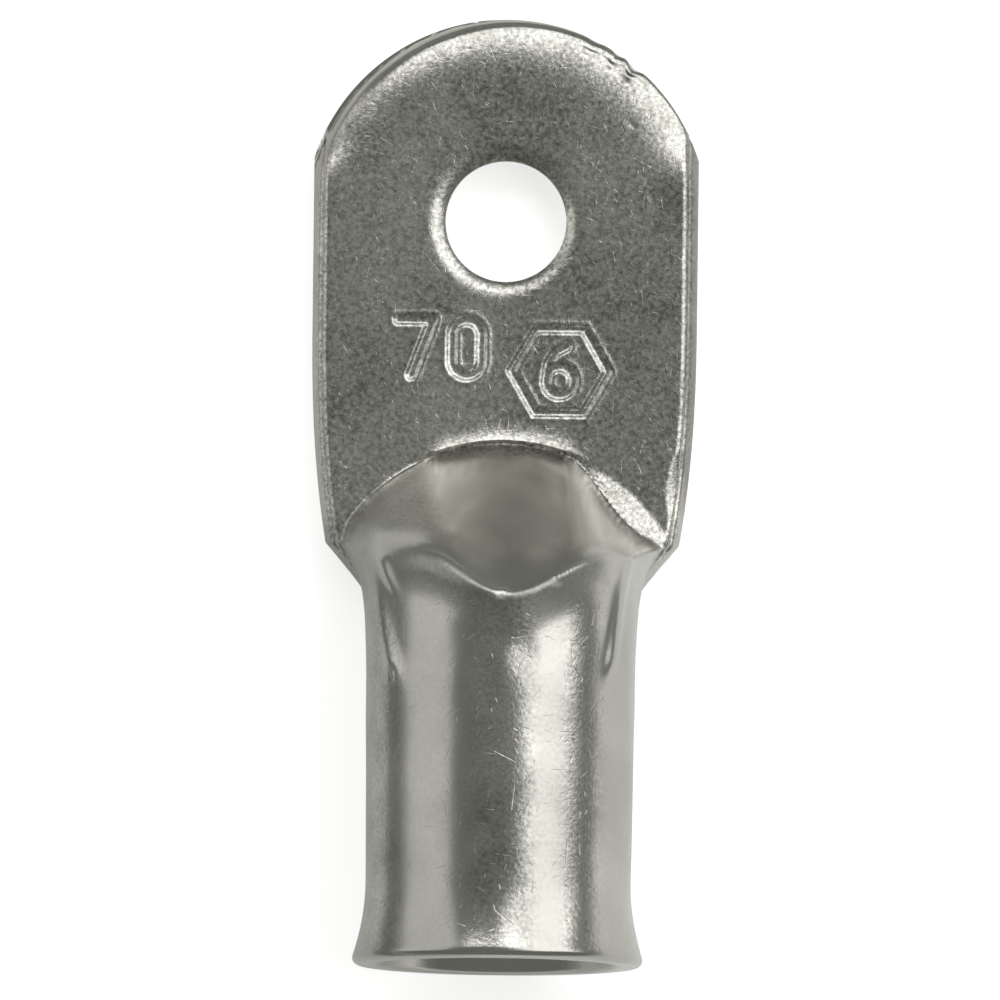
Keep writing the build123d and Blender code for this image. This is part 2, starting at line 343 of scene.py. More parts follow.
# Marks of use and pressing. Dents are (x, y, depth, half width along, half width across, turn in
# degrees), beads are creases behind the knuckles as ((x, y) points, height, half width), and nicks
# in the round end are (bearing from +X in degrees, depth, half width in degrees).
wear = {
    "tongueDents": [(8.45, 1.55, 0.05, 0.42, 0.13, 0), (9.15, -0.6, 0.03, 0.3, 0.13, -12),
                    (7.2, 5.7, 0.05, 0.35, 0.12, -30), (7.0, 8.6, 0.16, 0.5, 0.3, -40),
                    (5.9, 9.2, 0.1, 0.45, 0.2, -35), (4.7, 9.9, 0.07, 0.6, 0.15, -25),
                    (-3.7, 4.7, 0.04, 0.2, 0.3, 20), (-8.7, -17.0, 0.04, 0.12, 1.5, -35),
                    (-8.2, -16.6, 0.03, 0.1, 1.3, -38)],
    "barrelDents": [(1.5, -25.0, 0.12, 1.1, 1.2, 0), (1.5, -40.0, 0.1, 1.2, 1.7, 0),
                    (0.0, -21.55, 0.12, 0.35, 0.16, 0), (3.1, -20.7, 0.06, 0.35, 0.2, 0),
                    (-6.2, -26.1, 0.1, 0.2, 0.45, 0), (5.9, -20.8, 0.05, 0.3, 0.3, 0),
                    (-1.7, -27.3, 0.02, 0.1, 0.35, 0), (-1.3, -27.6, 0.02, 0.1, 0.3, 0),
                    (0.6, -29.2, 0.015, 0.3, 0.1, 0)],
    "beads": [(((-7.7, -19.4), (-7.1, -21.6), (-6.6, -24.0), (-5.9, -27.2)), 0.22, 0.42),
              (((7.3, -19.2), (6.8, -21.4), (6.5, -24.0), (6.1, -27.0)), 0.24, 0.34),
              (((-6.9, -19.4), (-6.5, -20.6), (-5.8, -22.2)), 0.2, 0.24)],
    "nicks": [(50.8, 0.32, 2.0), (56.8, 0.14, 1.5), (64.2, 0.08, 2.2)], "nickReach": 1.2,
    "waveHeight": 0.006, "wavePitch": (3.0, 9.0), "waveSeed": 5,
    "waveMouthFade": 1.5, "waveNeckFade": (-20.5, -24.0),
    "beadFade": (2.0, 0.3), "barrelAbove": 4.5, "barrelBehind": -18.8,
}


def toLine(x, y, ax, ay, bx, by):  # distance to the line from a to b
    along = np.clip(((x - ax) * (bx - ax) + (y - ay) * (by - ay)) / ((bx - ax) ** 2 + (by - ay) ** 2), 0, 1)
    return np.hypot(x - ax - along * (bx - ax), y - ay - along * (by - ay))


def stampRelief(x, y):
    # Each stroke is a groove with a raised lip along it, by the distance from the stroke's middle
    away = np.full(np.shape(x), 9.0)
    for line in stamps["lines"]:
        away = np.minimum(away, toLine(x, y, *line))
    for *line, radius in stamps["rings"]:
        away = np.minimum(away, np.abs(toLine(x, y, *line) - radius))
    middleX, middleY, apothem = stamps["hexagon"]
    sideways, upwards = np.abs(x - middleX), np.abs(y - middleY)
    hexagon = np.maximum(upwards, sideways * math.sqrt(3) / 2 + upwards / 2) - apothem
    away = np.minimum(away, np.abs(hexagon) + stamps["hexagonThinner"])
    edge, half = stamps["stroke"], stamps["wall"] / 2
    groove = stamps["depth"] * (1 - smoothStep(edge - half, edge + half, away))
    return stamps["lip"] * mound((away - edge - stamps["lipAway"]) / stamps["lipHalf"]) - groove


def dentDepth(x, y, dents):  # sum of hollows, each a bell curve along and across its own turn
    total = 0
    for middleX, middleY, depth, wide, long, turn in dents:
        c, s = math.cos(math.radians(turn)), math.sin(math.radians(turn))
        along, across = (x - middleX) * c + (y - middleY) * s, (y - middleY) * c - (x - middleX) * s
        total = total + depth * mound(along / wide, across / long)
    return total


def endDrop(x, y):  # the round end rolls over by a cube and ends in a quarter round, less so at the right
    r = np.hypot(x - lug["endRollShift"], y)
    edgeRound = lug["edgeRound"] * (1 + lug["edgeRoundLeft"] * smoothStep(*lug["edgeRoundFade"], x))
    edge = np.clip((r - lug["endRadius"]) / edgeRound + 1, 0, 0.96)
    into = np.clip((r - lug["endRadius"]) / lug["endRollWidth"] + 1, 0, 1)
    roll = lug["endRollDepth"] * into ** 3 * (1 - lug["endRollEase"] * smoothStep(*lug["endRollEaseFade"], x))
    return (roll + edgeRound * (1 - np.sqrt(1 - edge ** 2))) * smoothStep(*lug["endFade"], y)


def frontRelief(x, y):
    # Height of the tongue's front over its flat level: lip and stamps less what is hollow. The lip
    # rises by a smooth step in front of the crease, and sinks by a power curve over its length.
    width = lug["holeRollWidth"]
    hole = rollDrop(lug["holeRadius"] + width - np.hypot(x, y), width, lug["holeRollDepth"])
    ahead = -beyondArch(x, y)
    curl = np.clip((lug["lipLength"] - ahead) / (lug["lipLength"] - lug["lipCrest"]), 0, 1) ** lug["lipPower"]
    across = window(x, lug["lipLeftFade"], lug["lipRightFade"])
    lip = lug["lipHeight"] * curl * smoothStep(*lug["lipRise"], ahead) * across
    edge = lug["patchEdge"] + lug["patchBow"] * (y - lug["patchMiddle"]) ** 2
    patch = lug["patchSlope"] * softRise(x - edge, lug["patchRound"]) * smoothStep(*lug["patchFade"], y)
    return lip + stampRelief(x, y) - endDrop(x, y) - hole - patch - dentDepth(x, y, wear["tongueDents"])


def creaseFolds(x, y, z, lift):
    # Each fold takes up the front's relief at its top. A crease and a bead run along it: their
    # depth falls off by bell curves on both sides of one step, and goes both in and down.
    steps = np.array(grid["foldSteps"])
    crease = lug["foldCrease"] * mound((steps - lug["foldCreaseStep"]) / lug["foldCreaseWidth"])
    bead = lug["foldBead"] * mound((steps - lug["foldBeadStep"]) / lug["foldBeadWidth"])
    for fold, topColumn, downwards in ((leftFold, topCount - 1, 1), (rightFold, 0, -1)):
        pressed = flattening(y[:, fold])
        upper = smoothStep(*lug["foldLiftFade"], z[:, fold] / lug["thickness"])
        z[:, fold] += lift[:, topColumn, None] * upper * pressed
        draw = ((crease - bead)[None, :] * smoothStep(*lug["foldCreaseFade"], pressed))[:, ::downwards]
        x[:, fold] -= np.sign(x[:, fold]) * draw * lug["foldDraw"][0]
        z[:, fold] -= draw * lug["foldDraw"][1]


def wave(u, v, height, shortest, longest, seed):  # 16 sines in random directions, of a root mean square height
    random = np.random.default_rng(seed)
    total = np.zeros(np.shape(u))
    for _ in range(16):
        heading, phase = random.uniform(0, 2 * math.pi, 2)
        pitch = 2 * math.pi / random.uniform(shortest, longest)
        total += np.sin(pitch * (u * math.cos(heading) + v * math.sin(heading)) + phase)
    return height * total / math.sqrt(8)


def barrelWaves(x, y, z):  # moves points of the barrel in and out from its axis by waves, beads and dents
    up = z - lug["barrelRadius"]
    r = np.hypot(x, up) + 1e-9
    around = np.arctan2(x, up) * lug["barrelRadius"]
    amount = window(y, (lug["mouth"], lug["mouth"] + wear["waveMouthFade"]), wear["waveNeckFade"])
    out = amount * wave(around, y, wear["waveHeight"], *wear["wavePitch"], wear["waveSeed"])
    behind = (z > wear["barrelAbove"]) & (y < wear["barrelBehind"])  # the top of the lug from the ears back
    back, front = wear["beadFade"]
    for line, height, width in wear["beads"]:
        bendX, bendY = zip(*line[::-1])
        fade = window(y, (bendY[0], bendY[0] + back), (bendY[-1] + front, bendY[-1] - front))
        out = out + behind * height * fade * mound((x - np.interp(y, bendY, bendX)) / width)
    grow = 1 + (out - behind * dentDepth(x, y, wear["barrelDents"])) / r
    return x * grow, lug["barrelRadius"] + up * grow


def outerSkin():
    # x, y and z of the outside: the section carried along the lug, held down by the ramp, with the
    # hump behind it, the tongue's relief in front, creased folds and the barrel's waves. The ridge's
    # round grows from 0.05 mm with the ramp's height.
    y = outerRows()
    x, z = ringGrid(y, outer)
    x = widen(x, y)
    topX, topY, topZ = x[:, topSpan], y[:, topSpan], z[:, topSpan]
    ramp = rampLevel(topX, topY)
    ridgeRound = lug["ridgeRound"] + lug["ridgeSoft"] * smoothStep(*lug["ridgeSoftFade"], topX)
    reach = np.clip(0.05 + (ramp - lug["thickness"]) * 0.4, 0.05, ridgeRound)
    hump = humpLift(topX, topY) * smoothStep(*lug["humpFade"], topZ)
    lift = np.where(topY > archAt(topX) - 0.3, frontRelief(topX, topY), 0)
    z[:, topSpan] = softMin(topZ + hump, ramp, reach) + lift
    creaseFolds(x, y, z, lift)
    x, z = barrelWaves(x, y, z)
    return x, y, z


def rimRows(x, z):
    # x, y and z over the mouth's rim, from the skin's last row: a quarter round, the flat of the cut
    # end and a second quarter round. The turn gives each row's radius and distance from the mouth.
    up = z - lug["barrelRadius"]
    away = np.hypot(x, up)
    flare, corner = bellAngle(), lug["rimRound"]
    turnOut = np.radians(np.linspace(-math.degrees(flare), 90, grid["rimSteps"]))[1:, None]
    turnIn = np.radians(np.linspace(90, 180 - math.degrees(flare), grid["rimSteps"] - 1))[:, None]
    roundOut = away + corner * (np.cos(turnOut) - math.cos(flare))
    inEdge = away - lug["wall"] + corner * math.tan(flare) * lug["rimChamfer"]
    roundIn = inEdge + corner * (np.cos(turnIn) + math.cos(flare))
    radial = np.concatenate([roundOut, (roundOut[-1:] + roundIn[:1]) / 2, roundIn])
    axial = corner * (1 - np.sin(np.concatenate([turnOut, turnIn[:1], turnIn])))
    rimX, rimZ = radial * x / away, lug["barrelRadius"] + radial * up / away
    return rimX, mouthAt(rimZ, axial / math.cos(math.radians(lug["mouthTilt"]))), rimZ


def innerSkin():
    # x, y and z of the inside: the inner section from the rim to the slit, under the ramp's inside
    ends = [lug["mouth"] + grid["innerStart"], lug["bellStart"], lug["neckStart"], lug["slitEnd"]]
    v = np.concatenate([np.linspace(a, b, count)[1:] for a, b, count in zip(ends, ends[1:], grid["innerRows"])])
    y = np.repeat(v[:, None], ringCount, axis=1)
    x, z = ringGrid(y, inner)
    pull = np.clip((lug["bellStart"] - y) / (lug["bellStart"] - lug["mouth"]), 0, 1)
    y = y + pull * math.tan(math.radians(lug["mouthTilt"])) * (z - lug["barrelRadius"])
    x, z = ringGrid(y, inner)
    under = softMin(z[:, topSpan], innerRamp(x[:, topSpan], y[:, topSpan]), lug["slitRound"])
    z[:, topSpan] = np.maximum(under, inner["high"])
    return x, y, z


# Where painted shade darkens the metal, with the roughness of grime, and where it is rubbed, in millimetres. The
# pairs are fades from the start to the full value in x, in y, or in the distance behind the ridge or the arch;
# clear and bright are spots with a middle and a half width, where the painted shade is left off. The plain numbers
# are how much, and the height above which each counts.
shadeAndWear = {
    "ridge": 0.85, "ridgeRise": (-0.45, -0.1), "ridgeFall": (2.6, 0.6), "ridgeSides": (6.6, 5.2), "ridgeAbove": 6,
    "clear": 0.7, "clearX": (4.2, 1.4), "clearBehind": (-0.05, 0.25),
    "rampRight": (-3.3, -5.0), "rampLean": 0.25, "rampMiddle": -16, "rampLeft": (-8.8, -6.6),
    "rampFoot": (0.0, 0.5), "rampTop": (1.0, 1.8), "rampAbove": 3,
    "flank": 0.6, "flankX": (-7.0, -8.0), "flankBack": (-23.5, -21.0), "flankFront": (-17.0, -18.2),
    "fold": 0.9, "foldX": (10.35, 10.6), "foldY": (-19.0, -17.0),
    "brightX": (0.0, 0.6), "brightY": (-21.3, 0.4),
    "strips": [(1.0, (-2.8, -0.4), (2.6, 1.2)), (0.8, (3.4, 4.1), (6.6, 4.8)), (0.6, (-5.2, -6.0), (-8.0, -7.0))],
    "stripStart": (-20.5, -22.5), "stripsAbove": 8,
}


def spot(value, place):  # distance from a place's middle, in its half widths
    return (value - place[0]) / place[1]


def shadeAndGrimeAt(x, y, z):
    # 0 to 1: painted shade, with the roughness of grime, along the ridge, most behind it, on the ramp's left part,
    #         and
    # fainter on the left flank and the right fold. It is left off at the ridge's right and round one bright press
    # mark.
    behind = ridgeAt(x) - y
    ridge = window(behind, shadeAndWear["ridgeRise"], shadeAndWear["ridgeFall"]) * smoothStep(*shadeAndWear["ridgeSides"], np.abs(x))
    clear = mound(spot(x, shadeAndWear["clearX"]), spot(behind, shadeAndWear["clearBehind"]))
    ridge = np.where(z > shadeAndWear["ridgeAbove"], shadeAndWear["ridge"] * ridge * (1 - shadeAndWear["clear"] * clear), 0)
    leaning = x + shadeAndWear["rampLean"] * (y - shadeAndWear["rampMiddle"])
    ramp = (smoothStep(*shadeAndWear["rampRight"], leaning) * smoothStep(*shadeAndWear["rampLeft"], x)
            * smoothStep(*shadeAndWear["rampFoot"], beyondArch(x, y)) * smoothStep(*shadeAndWear["rampTop"], -behind))
    flank = shadeAndWear["flank"] * smoothStep(*shadeAndWear["flankX"], x) * window(y, shadeAndWear["flankBack"], shadeAndWear["flankFront"])
    fold = shadeAndWear["fold"] * smoothStep(*shadeAndWear["foldX"], x) * smoothStep(*shadeAndWear["foldY"], y)
    bright = mound(spot(x, shadeAndWear["brightX"]), spot(y, shadeAndWear["brightY"]))
    ramp = np.where(z > shadeAndWear["rampAbove"], ramp, 0)
    return np.clip((ridge + ramp + flank + fold) * (1 - bright), 0, 1)


def rubAt(x, y, z):  # 0 to 1: strips along the top of the barrel that are rubbed rough
    strips = sum(level * window(x, rise, fall) for level, rise, fall in shadeAndWear["strips"])
    return np.where(z > shadeAndWear["stripsAbove"], strips * smoothStep(*shadeAndWear["stripStart"], y), 0)


class Skin:
    # Collects the points and faces of one closed mesh
    def __init__(self, x, y, z):
        self.points = np.stack([x, y, z], axis=-1).reshape(-1, 3)
        self.quads, self.triangles = [], []

    def add(self, fresh):  # appends points and gives their numbers
        first = len(self.points)
        self.points = np.concatenate([self.points, fresh])
        return first + np.arange(len(fresh))


def gridFaces(index):  # quads of a grid of vertex numbers
    a, b, c, d = index[:-1, :-1], index[:-1, 1:], index[1:, 1:], index[1:, :-1]
    return np.stack([a, b, c, d], axis=-1).reshape(-1, 4)


def zipStrip(first, second, firstPlace, secondPlace):
    # Triangles between two rows of vertex numbers with unlike counts. Each edge of a row joins
    # the vertex of the other row that lies nearest to its middle.
    firstMiddle = (firstPlace[1:] + firstPlace[:-1]) / 2
    secondMiddle = (secondPlace[1:] + secondPlace[:-1]) / 2
    toSecond = np.searchsorted(secondMiddle, firstMiddle)
    toFirst = np.searchsorted(firstMiddle, secondMiddle, side="right")
    one = np.stack([first[:-1], first[1:], second[toSecond]], axis=1)
    two = np.stack([second[1:], second[:-1], first[toFirst]], axis=1)
    return np.concatenate([one, two])


def holeRings(skin, cut, front):
    # Rings from the edge of a square cut-out to the stud hole's circle, crowded towards the hole: the
    # distance from the middle goes by a power. cut holds the vertex numbers. Gives the last ring.
    loop = np.concatenate([cut[0, :-1], cut[:-1, -1], cut[-1, :0:-1], cut[:0:-1, 0]])
    edge = skin.points[loop]
    away = np.hypot(edge[:, 0], edge[:, 1])
    part = np.linspace(1, 0, grid["holeRings"] + 1)[1:, None] ** grid["holeCrowding"]
    r = lug["holeRadius"] + (away - lug["holeRadius"]) * part
    x, y = edge[:, 0] / away * r, edge[:, 1] / away * r
    z = lug["thickness"] + frontRelief(x, y) if front else np.broadcast_to(edge[:, 2], x.shape)
    numbers = skin.add(np.stack([x, y, z], axis=-1).reshape(-1, 3)).reshape(grid["holeRings"], -1)
    rings = np.vstack([loop, numbers])
    skin.quads.append(gridFaces(np.hstack([rings, rings[:, :1]])))
    return numbers[-1]


def byBearing(points, loop):  # a ring's vertex numbers and bearings, sorted and closed by the first one
    bearing = np.arctan2(points[loop, 1], points[loop, 0])
    order = np.argsort(bearing)
    return np.append(loop[order], loop[order[0]]), np.append(bearing[order], bearing[order[0]] + 2 * math.pi)


def cutHole(skin, cuts):  # the stud hole: rings on the front and the back, and rows down the wall between them
    front, back = [holeRings(skin, cut, isFront) for cut, isFront in zip(cuts, (True, False))]
    front, frontBearing = byBearing(skin.points, front)
    back, backBearing = byBearing(skin.points, back)
    rows = [front]
    for level in grid["holeLevels"]:
        ring = skin.add(skin.points[front[:-1]] * [1, 1, level])
        rows.append(np.append(ring, ring[0]))
    skin.quads.append(gridFaces(np.vstack(rows))[:, ::-1])
    skin.triangles.append(zipStrip(rows[-1], back, frontBearing, backBearing)[:, ::-1])


def closeEnd(skin, index):
    # Cut end of the tongue: rows between its two faces, drawn in by a bell curve at the seam where
    # the walls meet. Gives the polygons that close its two sides.
    keelEdge = index[0, keelFirst:keelFirst + keelCount][::-1]
    edge = skin.points[index[0, topSpan]]
    rows = [index[0, topSpan]]
    for level in grid["endLevels"]:
        inset = 1 - lug["seamDepth"] * mound((level - 0.5) / lug["seamHalf"]) / lug["endRadius"]
        rows.append(skin.add(edge * [inset, inset, level]))
    skin.quads.append(gridFaces(np.vstack(rows))[:, ::-1])
    skin.triangles.append(zipStrip(rows[-1], keelEdge, -edge[:, 0], -skin.points[keelEdge, 0])[:, ::-1])
    left = list(index[0, topCount - 1:keelFirst + 1]) + [row[-1] for row in rows[:0:-1]]
    right = [row[0] for row in rows] + list(index[0, keelFirst + keelCount - 1:])
    return [left, right[::-1]]


def nickEnd(points):  # draws the rim's points in towards the stud hole by bell curves, most at the front
    away = np.hypot(points[:, 0], points[:, 1])
    bearing = np.degrees(np.arctan2(points[:, 1], points[:, 0]))
    amount = (smoothStep(lug["endRadius"] - wear["nickReach"], lug["endRadius"], away)
              * (0.4 + 0.6 * points[:, 2] / lug["thickness"]))
    draw = sum(depth * mound((bearing - turn) / width) for turn, depth, width in wear["nicks"])
    points[:, :2] *= (1 - amount * draw / np.maximum(away, 1))[:, None]
    return points


def lugMesh():  # one closed skin: outside, rim and inside as rows of one grid, with the hole and the end closed
    outX, outY, outZ = outerSkin()
    sheets = [(outX, outY, outZ), rimRows(outX[-1], outZ[-1]), innerSkin()]
    x, y, z = (np.concatenate(part) for part in zip(*sheets))
    skin = Skin(x, y, z)
    index = np.arange(x.size).reshape(x.shape)

    keep = np.ones((len(x) - 1, ringCount), bool)
    cuts = []
    for first, last in ((0, topCount - 1), (keelFirst, keelFirst + keelCount - 1)):
        rows = np.where(np.abs(outY[:, (first + last) // 2]) < grid["holePatch"])[0]
        columns = first + np.where(np.abs(outX[rows[0], first:last + 1]) < grid["holePatch"])[0]
        keep[rows[0]:rows[-1], columns[0]:columns[-1]] = False
        cuts.append(index[rows[0]:rows[-1] + 1, columns[0]:columns[-1] + 1])
    skin.quads.append(gridFaces(np.hstack([index, index[:, :1]]))[keep.reshape(-1)])
    cutHole(skin, cuts)
    sides = closeEnd(skin, index)

    points = nickEnd(skin.points)
    marks = {"shadeAndGrime": np.zeros(len(points)), "rub": np.zeros(len(points))}
    # The first mask is painted shade, with the roughness of grime; the second marks rubbed strips
    marks["shadeAndGrime"][:outX.size] = shadeAndGrimeAt(outX, outY, outZ).reshape(-1)
    marks["rub"][:outX.size] = rubAt(outX, outY, outZ).reshape(-1)
    polygons = np.concatenate(skin.quads).tolist() + np.concatenate(skin.triangles).tolist()
    return points, polygons + sides + [list(index[-1])], marks


def makeObject(name, points, polygons, material, marks, sharp=38):  # a smooth mesh, sharp past an angle
    mesh = bpy.data.meshes.new(name)
    mesh.from_pydata((points * mm).tolist(), [], polygons)
    mesh.validate()
    mesh.update()
    mesh.shade_smooth()
    mesh.set_sharp_from_angle(angle=math.radians(sharp))
    mesh.materials.append(material)
    for label, values in marks.items():
        mesh.attributes.new(label, "FLOAT", "POINT").data.foreach_set("value", values)
    piece = bpy.data.objects.new(name, mesh)
    bpy.context.scene.collection.objects.link(piece)
    return piece


class Wire:
    # A shader socket that takes part in sums: an expression on wires adds its Math nodes.
    def __init__(self, shader, socket):
        self.shader, self.socket = shader, socket

    def math(self, operation, *others):
        return self.shader.node("ShaderNodeMath", {"operation": operation}, dict(enumerate((self, *others))))

    def __add__(self, other): return self.math("ADD", other)
    def __sub__(self, other): return self.math("SUBTRACT", other)
    def __mul__(self, other): return self.math("MULTIPLY", other)
    def __rsub__(self, other): return self.math("MULTIPLY", -1.0) + other
    __radd__ = __add__
    __rmul__ = __mul__


class Shader:
    # Builds the nodes of a material or the world. node() takes a type, its settings and its sockets' values.
    def __init__(self, owner):
        self.owner = owner
        owner.use_nodes = True
        self.tree = owner.node_tree
        self.tree.nodes.clear()

    def node(self, kind, settings=None, sockets=None, output=0):
        made = self.tree.nodes.new(kind)
        for key, value in (settings or {}).items():
            if key == "stops":
                for element, (position, colour) in zip(made.color_ramp.elements, value):
                    element.position, element.color = position, colour
            else:
                setattr(made, key, value)
        for key, value in (sockets or {}).items():
            if isinstance(value, Wire):
                self.tree.links.new(value.socket, made.inputs[key])
            else:
                made.inputs[key].default_value = value
        return Wire(self, made.outputs[output])

    def fade(self, value, start, end, low=0.0, high=1.0):  # smooth step of a wire, from low to high
        return self.node("ShaderNodeMapRange", {"interpolation_type": "SMOOTHSTEP"}, {
            "Value": value, "From Min": start, "From Max": end, "To Min": low, "To Max": high})

    def part(self, vector, axis):  # one axis of a vector
        return self.node("ShaderNodeSeparateXYZ", sockets={0: vector}, output=axis)

    def noise(self, where, scale, **sockets):
        return self.node("ShaderNodeTexNoise", sockets={"Vector": where, "Scale": scale, **sockets})

    def mix(self, factor, first, second):  # from one colour to another
        return self.node("ShaderNodeMix", {"data_type": "RGBA"}, {"Factor": factor, "A": first, "B": second},
                         output=2)

    def finish(self, surface, kind="ShaderNodeOutputMaterial"):
        end = self.tree.nodes.new(kind)
        self.tree.links.new(surface.socket, end.inputs["Surface"])
        return self.owner


# The tin plate, in metres. The tongue is a region by height and length; scratches are (spacing, length,
# half width, share of the cells that hold one). The last rows say how much each region adds.
tin = {
    # The last colour is painted shade, which the masked ridge, ramp, flank and fold are mixed towards
    "colour": (0.79, 0.784, 0.728, 1), "dull": (0.2, 0.198, 0.18, 1), "shadeAndGrime": (0.2, 0.198, 0.18, 1),
    "tongueRoughness": 0.27, "barrelRoughness": 0.22, "grimeRoughness": 0.2,
    "cloudRoughness": 0.16, "grainRoughness": 0.1,
    "tongueTop": (0.0045, 0.0034), "tongueFoot": (0.0022, 0.0029), "tongueStart": (-0.0215, -0.0185),
    "barrelStart": (-0.0205, -0.0225),
    "grainSize": 0.00023, "grainHeight": 0.00003, "cloudScale": 420.0, "stainScale": 170.0,
    "scratches": [(0.0011, 0.0009, 0.00004, 0.3), (0.0031, 0.0019, 0.00005, 0.3), (0.0006, 0.0004, 0.00005, 0.4)],
    "scratchHeight": 0.000006,
    "grainAmount": {"all": 0.14, "tongue": 0.52, "barrel": -0.03, "shadeAndGrime": 0.25, "rub": 0.42},
    "scratchAmount": {"all": 0.2, "tongue": 0.65, "barrel": 0.3, "shadeAndGrime": 0.3, "rub": 0.85},
    "stainShade": {"all": 0.4, "tongue": 0.5},
    "cloudShade": {"all": 0.1, "tongue": 0.6, "rub": 1.0},
    "grainShade": {"all": 0.14, "tongue": 2.2, "shadeAndGrime": 0.8, "rub": 1.1},
    "shade": 0.45, "shadeAndGrimeMix": 0.55,
}


def scratchMarks(shader, where, spacing, length, width, filled):
    # Short straight scratches: one in each Voronoi cell, at a random turn, in a share of the cells
    cell = {"settings": {"voronoi_dimensions": "2D"}, "sockets": {"Vector": where, "Scale": 1 / spacing}}
    colour = shader.node("ShaderNodeTexVoronoi", output="Color", **cell)
    middle = shader.node("ShaderNodeTexVoronoi", output="Position", **cell)
    chance = shader.node("ShaderNodeSeparateColor", sockets={0: colour}, output="Green")
    turn = shader.node("ShaderNodeSeparateColor", sockets={0: colour}, output="Red") * (2 * math.pi)
    offset = shader.node("ShaderNodeVectorMath", {"operation": "SUBTRACT"}, {0: where, 1: middle})
    flat = shader.node("ShaderNodeVectorRotate", {"rotation_type": "Z_AXIS"}, {"Vector": offset, "Angle": turn})
    lengthwise = shader.fade(shader.part(flat, "X").math("ABSOLUTE"), length / 2, length / 4)
    crosswise = shader.fade(shader.part(flat, "Y").math("ABSOLUTE"), width, 0.0)
    return lengthwise * crosswise * chance.math("LESS_THAN", filled)


def tinPlate():
    shader = Shader(bpy.data.materials.new("tinPlate"))
    where = shader.node("ShaderNodeTexCoord", output="Object")
    y, z = shader.part(where, "Y"), shader.part(where, "Z")
    regions = {
        "tongue": (shader.fade(z, *tin["tongueTop"]) * shader.fade(y, *tin["tongueStart"])
                   * shader.fade(z, *tin["tongueFoot"])),
        "barrel": shader.fade(y, *tin["barrelStart"]),
        # painted shade, with the roughness of grime, read from the mesh's mask
        "shadeAndGrime": shader.node("ShaderNodeAttribute", {"attribute_name": "shadeAndGrime"}, output="Fac"),
        "rub": shader.node("ShaderNodeAttribute", {"attribute_name": "rub"}, output="Fac"),
    }

    def byRegion(amounts):  # the amount for all, plus each region's own amount where the region is
        return amounts["all"] + sum(regions[name] * amount for name, amount in amounts.items() if name != "all")

    grain = shader.noise(where, 1 / tin["grainSize"], Detail=3.0, Roughness=0.62)
    cloud = shader.noise(where, tin["cloudScale"], Detail=4.0)
    stain = shader.noise(where, tin["stainScale"], Detail=2.0)
    scratches = sum(scratchMarks(shader, where, *scratch) for scratch in tin["scratches"])
    height = (grain * byRegion(tin["grainAmount"]) * tin["grainHeight"]
              - scratches * byRegion(tin["scratchAmount"]) * tin["scratchHeight"])
    bump = shader.node("ShaderNodeBump", sockets={"Strength": 1.0, "Distance": 1.0, "Height": height})
    roughness = (tin["barrelRoughness"] + regions["tongue"] * (tin["tongueRoughness"] - tin["barrelRoughness"])
                 + regions["shadeAndGrime"] * tin["grimeRoughness"] + (cloud - 0.5) * tin["cloudRoughness"]
                 + (grain - 0.5) * tin["grainRoughness"])
    dullness = ((stain - 0.5) * byRegion(tin["stainShade"]) + (cloud - 0.5) * byRegion(tin["cloudShade"])
                + (grain - 0.5) * byRegion(tin["grainShade"]) + tin["shade"])
    shade = shader.mix(dullness, tin["colour"], tin["dull"])
    # Painted shade: the masked ridge, ramp, flank and fold are mixed towards the dark colour
    shade = shader.mix(regions["shadeAndGrime"] * tin["shadeAndGrimeMix"], shade, tin["shadeAndGrime"])
    return shader.finish(shader.node("ShaderNodeBsdfPrincipled", sockets={
        "Base Color": shade, "Metallic": 1.0, "Roughness": roughness, "Normal": bump}))


points, polygons, marks = lugMesh()
lugPiece = makeObject("lug_skin", points, polygons, tinPlate(), marks)
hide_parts("lug_body")
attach(lugPiece, "root")
print("lug made:", len(points), "points,", sum(len(polygon) - 2 for polygon in polygons), "triangles")

# The studio, in metres: a pale floor, two soft boxes, a dim panel, a grey card that only the metal mirrors as
# painted shade, and a surround that is dark overhead. A light is (place, size, power in watts).
studio = {
    "floorReach": 4.0, "floorTilt": 1.05, "floorLevel": -0.00102, "floorPivot": -0.0432,
    "floorColour": (0.9, 0.9, 0.89, 1), "floorLift": 0.67,
    # Painted light: metal and glass see the floor glow, from nothing at the left to 0.25 at the right
    "gloss": (0.0, 0.25), "glossFade": (-0.03, 0.012),
    "shadeCard": [(-0.3, -0.12), (-0.033, -0.12), (-0.033, 0.016), (0.06, 0.016), (0.06, 0.3), (-0.3, 0.3)],
    "cardFaces": [(0, 1, 2, 5), (2, 3, 4, 5)], "cardOver": 0.0002, "cardColour": (0.34, 0.34, 0.33, 1),
    "surroundLow": (0.33, 0.33, 0.32, 1), "surroundHigh": (0.2, 0.2, 0.19, 1), "surroundFade": (0.04, 0.14),
    "backdrop": (0.97, 0.97, 0.96, 1),
    "aim": (0.0, -0.016, 0.005),
    "lights": {
        "softBoxRight": ((0.48, 0.2, 0.58), (0.74, 0.72), 2.6),
        "softBoxFront": ((-0.06, 0.56, 0.62), (0.7, 0.45), 1.6),
        "panelLeft": ((-0.62, 0.16, 0.33), (0.66, 0.58), 0.68),
    },
}


def addLight(name, place, size, power):  # a rectangle of light at place that faces the lug
    light = bpy.data.lights.new(name, "AREA")
    light.shape = "RECTANGLE"
    light.size, light.size_y = size
    light.energy = power
    lamp = bpy.data.objects.new(name, light)
    lamp.location = place
    lamp.rotation_euler = (Vector(studio["aim"]) - Vector(place)).to_track_quat("-Z", "Y").to_euler()
    bpy.context.scene.collection.objects.link(lamp)


